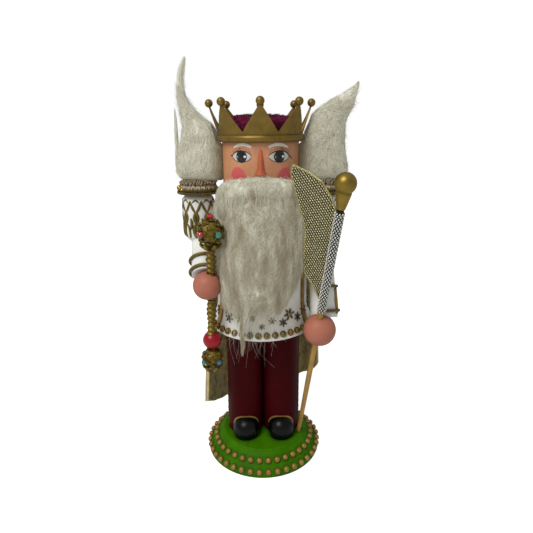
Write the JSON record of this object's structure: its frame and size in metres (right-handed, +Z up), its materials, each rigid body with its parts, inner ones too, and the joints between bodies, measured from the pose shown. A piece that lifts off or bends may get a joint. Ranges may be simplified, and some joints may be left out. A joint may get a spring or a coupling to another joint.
{
  "type": "nutcracker figure",
  "caption": "Turned wooden king nutcracker on a round plinth, with crown, wool beard, cape, scepter and lift-out staff, and a jaw worked by a rear lever.",
  "frame": {"origin": "centre of the plinth's underside, on the floor", "axes": "+Z up; the figure faces -Y; +X is the figure's own left"},
  "size_m": [0.189, 0.196, 0.4456],
  "materials": {
    "base_green": "bright green satin paint",
    "bead_bronze": "antique bronze",
    "stud_gold": "antique gold",
    "trouser_red": "burgundy satin paint",
    "shoe_black": "black gloss paint",
    "piping_gold": "thin gilt cord",
    "braid_gold": "olive gold braid and cord",
    "bare_wood": "unpainted turned wood",
    "coat_white": "off-white paint",
    "face_flesh": "flesh satin paint",
    "hand_pink": "pink satin paint",
    "steel": "plain steel nail",
    "crown_gold": "antique gold paint",
    "velvet_wine": "wine velvet",
    "wool_white": "loose off-white wool",
    "lace_silver": "crinkled silver lace",
    "scepter_gilt": "moulded olive gold",
    "scepter_red": "red gloss",
    "glass_stone": "faceted stones, red, teal and blue",
    "rod_ochre": "ochre gold paint",
    "sleeve_mesh": "silver metallic mesh",
    "finial_gold": "gold paint",
    "pennant_mesh": "pale gold metallic mesh",
    "cape_brocade": "stiff gold brocade"
  },
  "bodies": {
    "figure": {"base_plinth": "base_green", "base_beads_lower": "bead_bronze", "base_beads_upper": "bead_bronze", "leg_right": "trouser_red", "leg_left": "trouser_red", "shoe_right": "shoe_black", "shoe_left": "shoe_black", "shoe_piping": "piping_gold", "trouser_braid_right": "braid_gold", "trouser_braid_left": "braid_gold", "leg_dowels": "bare_wood", "coat_skirt": "coat_white", "hem_studs": "stud_gold", "trunk": "coat_white", "coat_bands": "braid_gold", "trunk_dowel": "bare_wood", "head": "face_flesh", "nose": "face_flesh", "head_dowels": "bare_wood", "pivot_pin": "steel", "crown": "crown_gold", "crown_balls": "crown_gold", "velvet_cap": "velvet_wine", "hair_right": "wool_white", "hair_left": "wool_white", "hair_back": "wool_white", "moustache": "wool_white", "arm_right": "coat_white", "arm_left": "coat_white", "shoulder_dowels": "bare_wood", "cuff_cords_right": "braid_gold", "cuff_cords_left": "braid_gold", "epaulette_right": "lace_silver", "epaulette_left": "lace_silver", "epaulette_cord_right": "braid_gold", "epaulette_cord_left": "braid_gold", "hand_right": "hand_pink", "hand_left": "hand_pink", "scepter_shaft": "scepter_gilt", "scepter_head": "scepter_gilt", "scepter_ball": "scepter_red", "scepter_pommel": "scepter_gilt", "scepter_gems": "glass_stone", "cape": "cape_brocade"},
    "jaw": {"jaw_lever": "bare_wood"},
    "beard": {"beard": "wool_white"},
    "staff": {"staff_rod": "rod_ochre", "staff_sleeve": "sleeve_mesh", "staff_collar": "finial_gold", "staff_finial": "finial_gold", "pennant": "pennant_mesh"}
  },
  "joints": [
    {"name": "jaw_open", "type": "hinge", "parent": "figure", "child": "jaw", "pos_m": [0, -0.006, 0.288], "axis": [1, 0, 0], "range_deg": [0, 18]},
    {"name": "beard_hang", "type": "hinge", "parent": "jaw", "child": "beard", "pos_m": [0, -0.0433, 0.296], "axis": [1, 0, 0], "range_deg": [-18, 0]},
    {"name": "staff_lift", "type": "slide", "parent": "figure", "child": "staff", "axis": [0.1029, -0.2174, 0.9706], "range_m": [0, 0.15]}
  ],
  "couplings": [
    {"joint": "beard_hang", "follows": "jaw_open", "ratio": -1}
  ]
}
